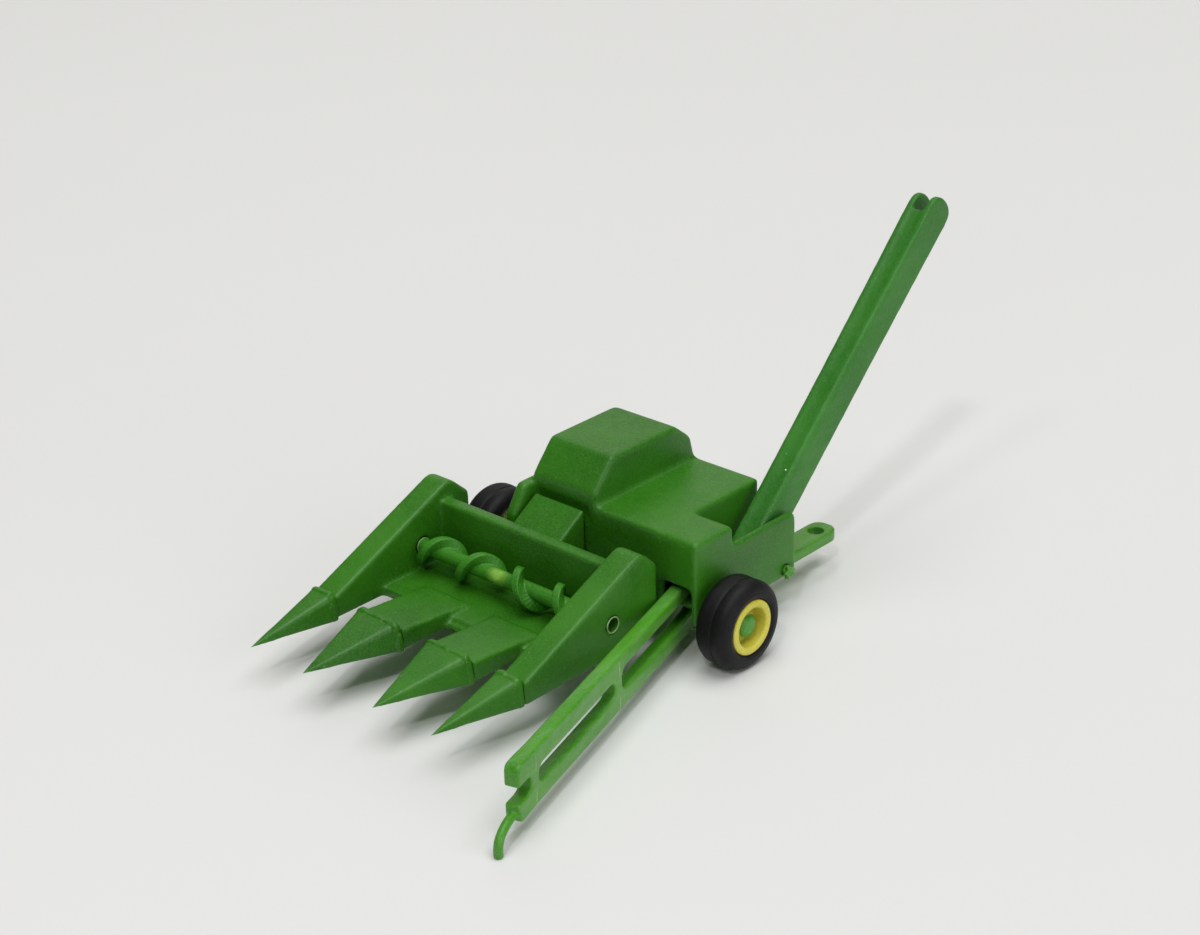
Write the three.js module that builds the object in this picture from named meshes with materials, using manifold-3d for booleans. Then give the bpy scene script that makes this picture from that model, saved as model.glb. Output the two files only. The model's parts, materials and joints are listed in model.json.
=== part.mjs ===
// Small-scale moulded model of a three-row pull-type corn picker.
// Millimetres, +Z up, ground at Z = 0. While it is being drawn, the rows are centred on X = 0 and
// the housing's front wall stands on Y = 0. The snouts point to -Y and the tongue lies on the +X side.
import * as THREE from 'three';
import { mergeVertices } from 'three/addons/utils/BufferGeometryUtils.js';
import Module from 'manifold-3d';

const wasm = await Module();
wasm.setup();

// ---------------------------------------------------------------- driving dimensions
const GAP = 0.3;                    // air between pieces that lie against each other
const RUN = 0.1;                    // radial play of a pin in its bore

// running gear
const TYRE_RADIUS = 6.5;
const TYRE_WIDTH = 5.8;
const TYRE_SHOULDER = 1.5;
const RIM_RADIUS = 4.05;
const RIM_LIP_WIDTH = 1.15;         // flat outer ring of the rim
const RIM_DISH_DEPTH = 1.5;
const AXLE_RADIUS = 0.8;
const AXLE_HEAD_RADIUS = 1.7;
const AXLE_HEAD_HEIGHT = 0.7;
const AXLE_Y = 4.4;
const WHEEL_SIDE_CLEARANCE = 0.8;   // near tyre to housing side
const TRACK = 45.9;                 // between the two wheel centres

// housing
const WALL = 1.2;
const HOUSING_BOTTOM = 5.8;
const DECK_TOP = 18.7;
const DECK_LENGTH = 22.3;
const BLOCK_WIDTH = 6.9;            // raised corner block beside the deck
const BLOCK_LENGTH = 8.3;
const HOOD_WIDTH = 12.15;
const HOOD_TOP = 25.1;
const HOOD_FRONT_STEP = 1.8;        // upright part of the hood's front face
const HOOD_FRONT_RUN = 4.1;         // distance that the hood's front leans back
const HOOD_REAR_RUN = 4.6;
const CHEEK_THICKNESS = 1.35;       // ear beside the feeder house
const CHEEK_REACH = 4.6;
const CHEEK_DROP = 0.35;            // ear's front corner below the side plate's top
const SIDE_PLATE_TOP = 15.75;
const EDGE_RADIUS = 0.9;
const FRONT_STEP = 0.1;             // deck's front face behind the block's

// chassis plate and rear drawbar
const PLATE_THICKNESS = 1.0;
const PLATE_INSET = 0.4;
const PLATE_NEAR_INSET = 2.0;       // under the side plate
const DRAWBAR_WIDTH = 4.3;
const DRAWBAR_THICKNESS = 1.7;
const DRAWBAR_REACH = 15.0;         // behind the housing
const DRAWBAR_EYE_RADIUS = 1.2;
const DRAWBAR_EYE_INSET = 3.0;      // eye's centre in from the bar's end
const SCREW_RADIUS = 0.6;
const SCREW_HEAD_RADIUS = 1.3;
const SCREW_HEAD_HEIGHT = 0.6;
const SCREW_LENGTH = 6.0;
const BOSS_RADIUS = 1.5;
const SCREW_INSET = 2.55;            // screws in from the deck's sides
const FRONT_SCREW_Y = 9.0;

// elevator
const ELEVATOR_WIDTH = 4.2;
const ELEVATOR_DEPTH = 5.6;
const ELEVATOR_LENGTH = 61.8;       // pivot to the far tip
const ELEVATOR_ANGLE = 43.7;        // degrees above level
const ELEVATOR_WALL = 1.1;
const ELEVATOR_WEB_RECESS = 0.2;
const ELEVATOR_WEB_SHORT = 3.4;     // web ends this far before the tip
const ELEVATOR_SIDE_CLEARANCE = 0.4;
const ELEVATOR_PIVOT = new THREE.Vector2(14.6, 9.0);   // Y and Z
const PIVOT_PIN_RADIUS = 0.8;
const PIN_SOCKET = 0.6;             // depth of a blind socket
const CROSS_PIN = new THREE.Vector2(20.1, 6.9);        // Y and Z
const CROSS_PIN_RADIUS = 0.75;
const CROSS_PIN_HEAD_RADIUS = 1.0;
const CROSS_PIN_HEAD_HEIGHT = 0.6;

// header
const HEADER_HALF_WIDTH = 20.7;
const HEADER_BOTTOM = 5.3;
const HEADER_FRONT = -29.4;
const HEADER_REAR = -2.5;
const DIVIDER_WIDTH = 4.4;
const DIVIDER_NOSE_TOP = 8.7;
const DIVIDER_APEX = new THREE.Vector2(-6.2, 18.75);   // Y and Z
const DIVIDER_REAR_TOP = 15.4;
const DIVIDER_APEX_RADIUS = 2.2;
const DIVIDER_CORNER_RADIUS = 1.5;
const TROUGH_DECK_TOP = 6.9;
const TROUGH_FRONT = -20.5;         // rear end of the row slots
const REAR_WALL_Y = -6.2;
const REAR_WALL_THICKNESS = 2.2;
const REAR_WALL_TOP = 16.0;
const ROW_RIB_WIDTH = 8.8;
const ROW_RIB_REAR = -16.8;
const ROW_RIB_FRONT_TOP = 8.5;
const ROW_RIB_REAR_TOP = 7.4;
const SNOUT_LENGTH = 14.4;
const SNOUT_TIP_Z = 6.5;
const SNOUT_OUTER_WIDTH = 5.4;
const SNOUT_INNER_WIDTH = 9.6;
const SNOUT_HEIGHT = 4.3;
const COLLAR_LENGTH = 0.8;
const COLLAR_LIP = 0.15;

// auger
const AUGER_Y = -12.2;
const AUGER_Z = 10.2;
const AUGER_CORE_RADIUS = 1.15;
const AUGER_RADIUS = 2.6;
const AUGER_PITCH = 7.8;
const AUGER_FLIGHT_THICKNESS = 1.7;
const AUGER_FLIGHT_MARGIN = 1.1;    // between a flight's end and the divider
const FAR_FLIGHT_START = 1.8;
const FAR_FLIGHT_CREST = 4.55;      // where its first crest points up
const NEAR_FLIGHT_START = 2.2;
const NEAR_FLIGHT_CREST = 2.95;

// feeder house
const FEEDER_WIDTH = 9.5;
const FEEDER_SLOPE = 32;            // degrees
const FEEDER_DEPTH = 5.5;
const FEEDER_WALL = 1.0;
const FEEDER_TOP_Z = 18.15;         // where the sloping top meets the housing
const FEEDER_PIN_RADIUS = 0.4;
const FEEDER_PIVOT = new THREE.Vector2(-1.3, 15.0);    // Y and Z
const LUG_WIDTH = 2.4;
const LUG_RADIUS = 0.8;
const FEEDER_RECESS = 0.55;         // hollow in the housing's front for the swinging top edge

// tongue
const TONGUE_ANGLE = 17;            // degrees outward from straight ahead
const TONGUE_PIVOT_INSET = 0.8;     // from the deck's near side
const TONGUE_LENGTH = 56.05;        // pivot to the fork's ends
const TONGUE_THICKNESS = 2.1;
const TONGUE_BOTTOM = 2.5;
const TONGUE_TOP = 10.65;
const LOWER_BAR_TOP = 5.15;
const UPPER_BAR_BOTTOM = 7.6;
const REAR_BAY_TOP = 8.3;
const BRIDGE_LENGTH = 2.1;
const FORK_NOTCH_LENGTH = 3.5;
const FRONT_BAY_LENGTH = 22.3;
const HUB_RADIUS = 1.2;
const TONGUE_SCREW_RADIUS = 0.5;
const HITCH_ROD_RADIUS = 0.66;
const HITCH_REACH = 5.0;            // hook's lead in front of the fork

// ---------------------------------------------------------------- derived places
const DEG = Math.PI / 180;
const DECK_FAR_X = -FEEDER_WIDTH / 2 - 1.0;
const DECK_NEAR_X = HEADER_HALF_WIDTH - 2.6;
const SCREW_PLACES = [DECK_FAR_X + SCREW_INSET, DECK_NEAR_X - SCREW_INSET].flatMap((x) =>
  [FRONT_SCREW_Y, DECK_LENGTH - SCREW_INSET].map((y) => [x, y]));
const DRAWBAR_X = DECK_NEAR_X + 1.2;
const TONGUE_PIVOT = new THREE.Vector2(
  DECK_NEAR_X + TONGUE_PIVOT_INSET,
  AXLE_Y + AXLE_RADIUS + HUB_RADIUS + GAP,
);
const ROW_RIB_X = HEADER_HALF_WIDTH / 3;
const OUTER_TIP_X = HEADER_HALF_WIDTH - 2.95;
const BLOCK_NEAR_X = DECK_NEAR_X + BLOCK_WIDTH;
const NEAR_WHEEL_X = BLOCK_NEAR_X + WHEEL_SIDE_CLEARANCE + TYRE_WIDTH / 2;
const FAR_WHEEL_X = NEAR_WHEEL_X - TRACK;
const HOOD_NEAR_X = DECK_FAR_X + HOOD_WIDTH;
const PLATE_TOP = HOUSING_BOTTOM - GAP;
const PLATE_BOTTOM = PLATE_TOP - PLATE_THICKNESS;
const SIDE_PLATE_INNER_X = BLOCK_NEAR_X - WALL;
const ELEVATOR_NEAR_X = SIDE_PLATE_INNER_X - ELEVATOR_SIDE_CLEARANCE;
const ELEVATOR_FAR_X = ELEVATOR_NEAR_X - ELEVATOR_WIDTH;
const DIVIDER_INNER_X = HEADER_HALF_WIDTH - DIVIDER_WIDTH;
const AUGER_FLIGHT_END = DIVIDER_INNER_X - AUGER_FLIGHT_MARGIN;
const SNOUT_BASE_Y = HEADER_FRONT - GAP;
const FEEDER_FRONT = REAR_WALL_Y + GAP;
const RIM_HUB_RADIUS = RIM_RADIUS - RIM_LIP_WIDTH;
const FAR = 100;                    // longer than anything that a cut goes through

// ---------------------------------------------------------------- materials
const plastic = (name, color, roughness) =>
  new THREE.MeshStandardMaterial({ name, color, roughness, metalness: 0 });
const housingGreen = plastic('housing_green', 0x2c7a1c, 0.5);
const frameGreen = plastic('frame_green', 0x3c9a24, 0.45);
const elevatorGreen = plastic('elevator_green', 0x2a7a2c, 0.5);
const rimYellow = plastic('rim_yellow', 0xe2cf3a, 0.5);
const tyreBlack = plastic('tyre_black', 0x17171a, 0.7);

// ---------------------------------------------------------------- solid helpers
function toSolid(geometry) {
  const plain = geometry.clone();
  plain.deleteAttribute('normal');
  plain.deleteAttribute('uv');
  const merged = mergeVertices(plain, 1e-5);
  return new wasm.Manifold(new wasm.Mesh({
    numProp: 3,
    vertProperties: new Float32Array(merged.attributes.position.array),
    triVerts: new Uint32Array(merged.index.array),
  }));
}

function toGeometry(solid) {
  const data = solid.getMesh();
  const geometry = new THREE.BufferGeometry();
  geometry.setAttribute('position', new THREE.BufferAttribute(new Float32Array(data.vertProperties), 3));
  geometry.setIndex(new THREE.BufferAttribute(new Uint32Array(data.triVerts), 1));
  geometry.computeVertexNormals();
  return geometry;
}

const join = (...solids) => solids.reduce((sum, piece) => sum.add(piece));
const cut = (body, ...tools) => tools.reduce((rest, tool) => rest.subtract(tool), body);

function piece(name, solid, material) {
  const mesh = new THREE.Mesh(toGeometry(solid), material);
  mesh.name = name;
  return mesh;
}

// A closed outline whose corners are [u, v] or [u, v, radius].
function outline(corners) {
  const shape = new THREE.Shape();
  const count = corners.length;
  corners.forEach(([u, v, radius = 0], i) => {
    const corner = new THREE.Vector2(u, v);
    const before = new THREE.Vector2(...corners[(i + count - 1) % count].slice(0, 2));
    const after = new THREE.Vector2(...corners[(i + 1) % count].slice(0, 2));
    const toBefore = before.sub(corner).normalize();
    const toAfter = after.sub(corner).normalize();
    const halfAngle = toBefore.angleTo(toAfter) / 2;
    const reach = radius / Math.tan(halfAngle);
    const enter = corner.clone().addScaledVector(toBefore, reach);
    const leave = corner.clone().addScaledVector(toAfter, reach);
    if (i === 0) shape.moveTo(enter.x, enter.y);
    else shape.lineTo(enter.x, enter.y);
    if (radius > 0) shape.quadraticCurveTo(corner.x, corner.y, leave.x, leave.y);
  });
  shape.closePath();
  return shape;
}

const extrude = (shape, depth, curveSegments = 5) =>
  new THREE.ExtrudeGeometry(shape, { depth, curveSegments, bevelEnabled: false });

// An outline in (Y, Z) swept from x0 to x1.
function sweepX(shape, x0, x1) {
  const basis = new THREE.Matrix4().makeBasis(
    new THREE.Vector3(0, 1, 0), new THREE.Vector3(0, 0, 1), new THREE.Vector3(1, 0, 0));
  return toSolid(extrude(shape, x1 - x0).applyMatrix4(basis).translate(x0, 0, 0));
}

// An outline in (X, Z) swept from y0 to y1.
function sweepY(shape, y0, y1) {
  return toSolid(extrude(shape, y1 - y0).rotateX(Math.PI / 2).translate(0, y1, 0));
}

// An outline in (X, Y) swept from z0 to z1.
function sweepZ(shape, z0, z1) {
  return toSolid(extrude(shape, z1 - z0).translate(0, 0, z0));
}

function box(x0, x1, y0, y1, z0, z1) {
  const geometry = new THREE.BoxGeometry(x1 - x0, y1 - y0, z1 - z0);
  return toSolid(geometry.translate((x0 + x1) / 2, (y0 + y1) / 2, (z0 + z1) / 2));
}

function rodX(radius, x0, x1, y, z, sides = 20) {
  const geometry = new THREE.CylinderGeometry(radius, radius, x1 - x0, sides).rotateZ(Math.PI / 2);
  return toSolid(geometry.translate((x0 + x1) / 2, y, z));
}

function rodZ(radius, z0, z1, x, y, sides = 20) {
  const geometry = new THREE.CylinderGeometry(radius, radius, z1 - z0, sides).rotateX(Math.PI / 2);
  return toSolid(geometry.translate(x, y, (z0 + z1) / 2));
}

// A profile of [radius, along] points turned about a line parallel to X.
function turnX(profile, y, z, segments = 40) {
  const points = profile.map(([radius, along]) => new THREE.Vector2(radius, along));
  const geometry = new THREE.LatheGeometry(points, segments).rotateZ(-Math.PI / 2);
  return toSolid(geometry.translate(0, y, z));
}

// ---------------------------------------------------------------- housing
function hoodOutline(inset) {
  const front = inset;
  const rear = DECK_LENGTH - inset;
  const top = HOOD_TOP - inset;
  const floor = DECK_TOP - WALL - inset;
  return outline([
    [front, floor],
    [front, DECK_TOP + HOOD_FRONT_STEP, 1.2],
    [HOOD_FRONT_RUN + inset * 0.4, top, 1.0],
    [rear - HOOD_REAR_RUN + inset * 0.4, top, 2.0],
    [rear - HOOD_REAR_RUN / 4, DECK_TOP + HOOD_FRONT_STEP * 2, 1.5],
    [rear, floor],
  ]);
}

function cheekOutline() {
  return outline([
    [-CHEEK_REACH, HOUSING_BOTTOM, EDGE_RADIUS],
    [-CHEEK_REACH, SIDE_PLATE_TOP - CHEEK_DROP, EDGE_RADIUS],
    [-1.9, DECK_TOP + 0.8, EDGE_RADIUS],
    [HOOD_FRONT_RUN, DECK_TOP + 0.8],
    [HOOD_FRONT_RUN, HOUSING_BOTTOM],
  ]);
}

function feederOutline() {
  const fall = Math.tan(FEEDER_SLOPE * DEG);
  const rear = -GAP;
  const drop = FEEDER_DEPTH / Math.cos(FEEDER_SLOPE * DEG);
  const frontTop = FEEDER_TOP_Z - (rear - FEEDER_FRONT) * fall;
  return outline([
    [rear, FEEDER_TOP_Z, 0.25],
    [FEEDER_FRONT, frontTop],
    [FEEDER_FRONT, frontTop - drop],
    [rear, FEEDER_TOP_Z - drop, 0.5],
  ]);
}

function bodyShell() {
  const outer = join(
    box(DECK_FAR_X, DECK_NEAR_X, FRONT_STEP, DECK_LENGTH, HOUSING_BOTTOM, DECK_TOP),
    sweepX(outline([
      [0, HOUSING_BOTTOM],
      [0, DECK_TOP, EDGE_RADIUS],
      [BLOCK_LENGTH, DECK_TOP, EDGE_RADIUS],
      [BLOCK_LENGTH, HOUSING_BOTTOM],
    ]), DECK_NEAR_X - WALL, BLOCK_NEAR_X),
    sweepX(hoodOutline(0), DECK_FAR_X, HOOD_NEAR_X),
    sweepX(cheekOutline(), DECK_FAR_X - CHEEK_THICKNESS, DECK_FAR_X + WALL / 2),
    sweepX(outline([
      [BLOCK_LENGTH - WALL, HOUSING_BOTTOM],
      [BLOCK_LENGTH - WALL, SIDE_PLATE_TOP],
      [DECK_LENGTH, SIDE_PLATE_TOP, 1.6],
      [DECK_LENGTH, HOUSING_BOTTOM],
    ]), SIDE_PLATE_INNER_X, BLOCK_NEAR_X),
  );
  const hollow = join(
    box(DECK_FAR_X + WALL, DECK_NEAR_X - WALL, WALL, DECK_LENGTH - WALL, 0, DECK_TOP - WALL),
    box(DECK_NEAR_X - 2 * WALL, BLOCK_NEAR_X - WALL, WALL, BLOCK_LENGTH - WALL, 0, DECK_TOP - WALL),
    sweepX(hoodOutline(WALL), DECK_FAR_X + WALL, HOOD_NEAR_X - WALL),
  );
  const fixings = join(
    ...SCREW_PLACES.map(([x, y]) => rodZ(BOSS_RADIUS, HOUSING_BOTTOM + GAP, DECK_TOP - WALL / 2, x, y)),
    rodZ(BOSS_RADIUS, TONGUE_TOP + GAP, DECK_TOP - WALL / 2, TONGUE_PIVOT.x, TONGUE_PIVOT.y),
  );
  return cut(
    join(cut(outer, hollow, feederRecess()), fixings, feederLug()),
    rodX(FEEDER_PIN_RADIUS + RUN, -LUG_WIDTH, LUG_WIDTH, FEEDER_PIVOT.x, FEEDER_PIVOT.y, 16),
    tongueOpening(),
    axleNotch(),
    rodX(PIVOT_PIN_RADIUS + RUN, DECK_NEAR_X - WALL - GAP, SIDE_PLATE_INNER_X + PIN_SOCKET,
      ELEVATOR_PIVOT.x, ELEVATOR_PIVOT.y),
    rodX(CROSS_PIN_RADIUS + RUN, DECK_NEAR_X - WALL - GAP, FAR, CROSS_PIN.x, CROSS_PIN.y),
    ...SCREW_PLACES.map(([x, y]) => screwBore(x, y)),
    rodZ(TONGUE_SCREW_RADIUS + RUN, 0, TONGUE_TOP + SCREW_LENGTH, TONGUE_PIVOT.x, TONGUE_PIVOT.y),
  );
}

// The lug on the front wall that carries the feeder house's pin, out of sight inside the feeder house.
function feederLug() {
  const { x: y, y: z } = FEEDER_PIVOT;
  return sweepX(outline([
    [WALL, z - 2 * LUG_RADIUS],
    [y - LUG_RADIUS, z - LUG_RADIUS, LUG_RADIUS * 0.9],
    [y - LUG_RADIUS, z + LUG_RADIUS, LUG_RADIUS * 0.9],
    [WALL, z + LUG_RADIUS],
  ]), -LUG_WIDTH / 2, LUG_WIDTH / 2);
}

function feederRecess() {
  const half = FEEDER_WIDTH / 2 + GAP;
  const bottom = FEEDER_PIVOT.y + LUG_RADIUS + GAP;
  return box(-half, half, -1, FEEDER_RECESS, bottom, FEEDER_TOP_Z + GAP);
}

function tongueOpening() {
  const front = outline([
    [DECK_NEAR_X + 0.6, 0],
    [DECK_NEAR_X + 0.6, TONGUE_TOP + 2 * GAP],
    [SIDE_PLATE_INNER_X, TONGUE_TOP + 2 * GAP],
    [SIDE_PLATE_INNER_X, 0],
  ]);
  const hubRoom = HUB_RADIUS + 2 * GAP;
  return join(
    sweepY(front, -1, WALL + 0.1),
    rodZ(hubRoom, 0, TONGUE_TOP + GAP, TONGUE_PIVOT.x, TONGUE_PIVOT.y),
  );
}

function axleNotch() {
  const half = AXLE_RADIUS + RUN;
  return sweepX(outline([
    [AXLE_Y - half, 0],
    [AXLE_Y - half, TYRE_RADIUS + half, half * 0.8],
    [AXLE_Y + half, TYRE_RADIUS + half, half * 0.8],
    [AXLE_Y + half, 0],
  ]), -FAR, FAR);
}

function screwBore(x, y) {
  return rodZ(SCREW_RADIUS + RUN, 0, PLATE_BOTTOM + SCREW_LENGTH + GAP, x, y);
}

// ---------------------------------------------------------------- chassis plate, screws, pins, axle
function chassisPlate() {
  const tongueClear = TONGUE_PIVOT.x - HUB_RADIUS - 2 * GAP;
  const plate = sweepZ(outline([
    [DECK_FAR_X + PLATE_INSET, WALL, EDGE_RADIUS],
    [tongueClear, WALL, EDGE_RADIUS],
    [tongueClear, TONGUE_PIVOT.y + HUB_RADIUS + 2 * GAP, EDGE_RADIUS],
    [BLOCK_NEAR_X - PLATE_NEAR_INSET, TONGUE_PIVOT.y + HUB_RADIUS + 2 * GAP, EDGE_RADIUS],
    [BLOCK_NEAR_X - PLATE_NEAR_INSET, DECK_LENGTH - PLATE_INSET, EDGE_RADIUS],
    [DECK_FAR_X + PLATE_INSET, DECK_LENGTH - PLATE_INSET, EDGE_RADIUS],
  ]), PLATE_BOTTOM, PLATE_TOP);
  const half = DRAWBAR_WIDTH / 2;
  const rear = DECK_LENGTH + DRAWBAR_REACH;
  const top = PLATE_TOP + (DRAWBAR_THICKNESS - PLATE_THICKNESS) * 0.7;
  const raised = DECK_LENGTH + GAP;
  const root = sweepZ(outline([
    [DRAWBAR_X - half, DECK_LENGTH / 2],
    [DRAWBAR_X + half, DECK_LENGTH / 2],
    [DRAWBAR_X + half, raised + 1],
    [DRAWBAR_X - half, raised + 1],
  ]), top - DRAWBAR_THICKNESS, PLATE_TOP);
  const bar = sweepZ(outline([
    [DRAWBAR_X - half, raised],
    [DRAWBAR_X + half, raised],
    [DRAWBAR_X + half, rear, half * 0.98],
    [DRAWBAR_X - half, rear, half * 0.98],
  ]), top - DRAWBAR_THICKNESS, top);
  return cut(
    join(plate, root, bar),
    rodZ(DRAWBAR_EYE_RADIUS, 0, FAR, DRAWBAR_X, rear - DRAWBAR_EYE_INSET, 28),
    ...SCREW_PLACES.map(([x, y]) => rodZ(SCREW_RADIUS + RUN, 0, FAR, x, y)),
  );
}

function chassisScrew([x, y]) {
  const headTop = PLATE_BOTTOM - GAP;
  return join(
    rodZ(SCREW_HEAD_RADIUS, headTop - SCREW_HEAD_HEIGHT, headTop, x, y, 16),
    rodZ(SCREW_RADIUS, headTop - 0.1, headTop + SCREW_LENGTH, x, y, 12),
  );
}

function tongueScrew() {
  const { x, y } = TONGUE_PIVOT;
  const headTop = TONGUE_BOTTOM - GAP;
  return join(
    rodZ(SCREW_HEAD_RADIUS, headTop - SCREW_HEAD_HEIGHT, headTop, x, y, 16),
    rodZ(TONGUE_SCREW_RADIUS, headTop - 0.1, TONGUE_TOP + SCREW_LENGTH - GAP, x, y, 16),
  );
}

const elevatorPin = () => rodX(PIVOT_PIN_RADIUS, DECK_NEAR_X - WALL, SIDE_PLATE_INNER_X + PIN_SOCKET - GAP,
  ELEVATOR_PIVOT.x, ELEVATOR_PIVOT.y, 16);

function feederPin() {
  const reach = FEEDER_WIDTH / 2 - FEEDER_WALL / 2 - RUN;
  return rodX(FEEDER_PIN_RADIUS, -reach, reach, FEEDER_PIVOT.x, FEEDER_PIVOT.y, 16);
}

function crossPin() {
  const face = BLOCK_NEAR_X + GAP;
  const head = CROSS_PIN_HEAD_RADIUS;
  return join(
    rodX(CROSS_PIN_RADIUS, DECK_NEAR_X - WALL, face + 0.1, CROSS_PIN.x, CROSS_PIN.y, 16),
    turnX([[0, face], [head, face], [head * 0.85, face + CROSS_PIN_HEAD_HEIGHT * 0.7],
      [0, face + CROSS_PIN_HEAD_HEIGHT]], CROSS_PIN.x, CROSS_PIN.y, 16),
  );
}

function axle() {
  const nearHead = NEAR_WHEEL_X + TYRE_WIDTH / 2 - RIM_DISH_DEPTH + GAP;
  const farHead = FAR_WHEEL_X - TYRE_WIDTH / 2 + RIM_DISH_DEPTH - GAP;
  const dome = AXLE_HEAD_RADIUS * 0.7;
  return turnX([
    [0, farHead - AXLE_HEAD_HEIGHT],
    [dome, farHead - AXLE_HEAD_HEIGHT * 0.8],
    [AXLE_HEAD_RADIUS, farHead - AXLE_HEAD_HEIGHT * 0.3],
    [AXLE_HEAD_RADIUS, farHead],
    [AXLE_RADIUS, farHead],
    [AXLE_RADIUS, nearHead],
    [AXLE_HEAD_RADIUS, nearHead],
    [AXLE_HEAD_RADIUS, nearHead + AXLE_HEAD_HEIGHT * 0.3],
    [dome, nearHead + AXLE_HEAD_HEIGHT * 0.8],
    [0, nearHead + AXLE_HEAD_HEIGHT],
  ], AXLE_Y, TYRE_RADIUS, 24);
}

// ---------------------------------------------------------------- wheels
// Drawn at x, with the dished side facing outward (+1 for +X, -1 for -X).
function rim(x, outward) {
  const half = TYRE_WIDTH / 2;
  const dishFloor = half - RIM_DISH_DEPTH;
  const bore = AXLE_RADIUS + RUN;
  const profile = [
    [bore, -half + 0.8],
    [RIM_RADIUS, -half + 0.8],
    [RIM_RADIUS, half],
    [RIM_HUB_RADIUS + 0.25, half],
    [RIM_HUB_RADIUS, half - 0.25],
    [RIM_HUB_RADIUS - 0.2, dishFloor],
    [bore, dishFloor],
  ].map(([radius, along]) => [radius, x + outward * along]);
  if (outward < 0) profile.reverse();
  profile.push(profile[0]);
  return turnX(profile, AXLE_Y, TYRE_RADIUS);
}

function tyre(x) {
  const half = TYRE_WIDTH / 2;
  const bore = RIM_RADIUS + GAP / 2;
  const profile = [[bore, x - half + 0.25]];
  const steps = 4;
  for (const side of [-1, 1]) {
    for (let i = 0; i <= steps; i += 1) {
      const turn = (side < 0 ? i : steps - i) / steps * Math.PI / 2;
      profile.push([
        TYRE_RADIUS - TYRE_SHOULDER * (1 - Math.sin(turn)),
        x + side * (half - TYRE_SHOULDER * (1 - Math.cos(turn))),
      ]);
    }
  }
  profile.push([bore, x + half - 0.25]);
  profile.push(profile[0]);
  return turnX(profile, AXLE_Y, TYRE_RADIUS, 48);
}

// ---------------------------------------------------------------- elevator
function elevatorChannel() {
  const half = ELEVATOR_DEPTH / 2;
  const tip = ELEVATOR_LENGTH;
  const round = half * 0.97;
  // Drawn level along +Y from the pivot at the origin, then tilted up. +Z is the channel's front.
  const side = outline([
    [-half, -half, round],
    [tip, -half, round],
    [tip, half, round],
    [-half, half, round],
  ]);
  const frontRecess = half - ELEVATOR_WEB_RECESS;
  const webBottom = frontRecess - ELEVATOR_WALL;
  const x0 = ELEVATOR_FAR_X;
  const x1 = ELEVATOR_NEAR_X;
  const inner0 = x0 + ELEVATOR_WALL;
  const inner1 = x1 - ELEVATOR_WALL;
  const webEnd = tip - ELEVATOR_WEB_SHORT;
  const body = cut(
    sweepX(side, x0, x1),
    box(inner0, inner1, -FAR, FAR, frontRecess, FAR),
    box(inner0, inner1, -FAR, FAR, -FAR, webBottom),
    box(inner0, inner1, webEnd, FAR, -FAR, FAR),
    rodX(PIVOT_PIN_RADIUS + RUN, x0 - 1, x1 + 1, 0, 0),
  );
  const tilt = new THREE.Matrix4().makeRotationX(ELEVATOR_ANGLE * DEG);
  tilt.setPosition(0, ELEVATOR_PIVOT.x, ELEVATOR_PIVOT.y);
  return toSolid(toGeometry(body).applyMatrix4(tilt));
}

// ---------------------------------------------------------------- header
// side is -1 for the far divider and +1 for the near one.
function divider(side) {
  const profile = outline([
    [HEADER_FRONT, HEADER_BOTTOM],
    [HEADER_FRONT, DIVIDER_NOSE_TOP],
    [DIVIDER_APEX.x, DIVIDER_APEX.y, DIVIDER_APEX_RADIUS],
    [HEADER_REAR, DIVIDER_REAR_TOP, EDGE_RADIUS],
    [HEADER_REAR, HEADER_BOTTOM],
  ]);
  const inner = side * DIVIDER_INNER_X;
  const outer = side * HEADER_HALF_WIDTH;
  const plan = outline([
    [inner, HEADER_FRONT - 1],
    [outer, HEADER_FRONT - 1],
    [outer, HEADER_REAR, DIVIDER_CORNER_RADIUS],
    [inner, HEADER_REAR],
  ]);
  return sweepX(profile, Math.min(inner, outer), Math.max(inner, outer))
    .intersect(sweepZ(plan, 0, FAR));
}

function rowRib(x) {
  return sweepX(outline([
    [HEADER_FRONT, HEADER_BOTTOM],
    [HEADER_FRONT, ROW_RIB_FRONT_TOP],
    [ROW_RIB_REAR, ROW_RIB_REAR_TOP],
    [ROW_RIB_REAR, HEADER_BOTTOM],
  ]), x - ROW_RIB_WIDTH / 2, x + ROW_RIB_WIDTH / 2);
}

function headerShell() {
  const lap = DIVIDER_INNER_X + 0.5;
  const half = ROW_RIB_X - ROW_RIB_WIDTH / 2;
  return cut(
    join(
      divider(-1),
      divider(1),
      box(-lap, lap, TROUGH_FRONT, REAR_WALL_Y, HEADER_BOTTOM, TROUGH_DECK_TOP),
      box(-lap, lap, REAR_WALL_Y - REAR_WALL_THICKNESS, REAR_WALL_Y, HEADER_BOTTOM, REAR_WALL_TOP),
      box(
        -half - 0.5, half + 0.5,
        TROUGH_FRONT - 1.0, TROUGH_FRONT + 1,
        HEADER_BOTTOM, TROUGH_DECK_TOP - 0.6,
      ),
      rowRib(-ROW_RIB_X),
      rowRib(ROW_RIB_X),
    ),
    rodX(AUGER_CORE_RADIUS + RUN, -FAR, FAR, AUGER_Y, AUGER_Z),
  );
}

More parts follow.
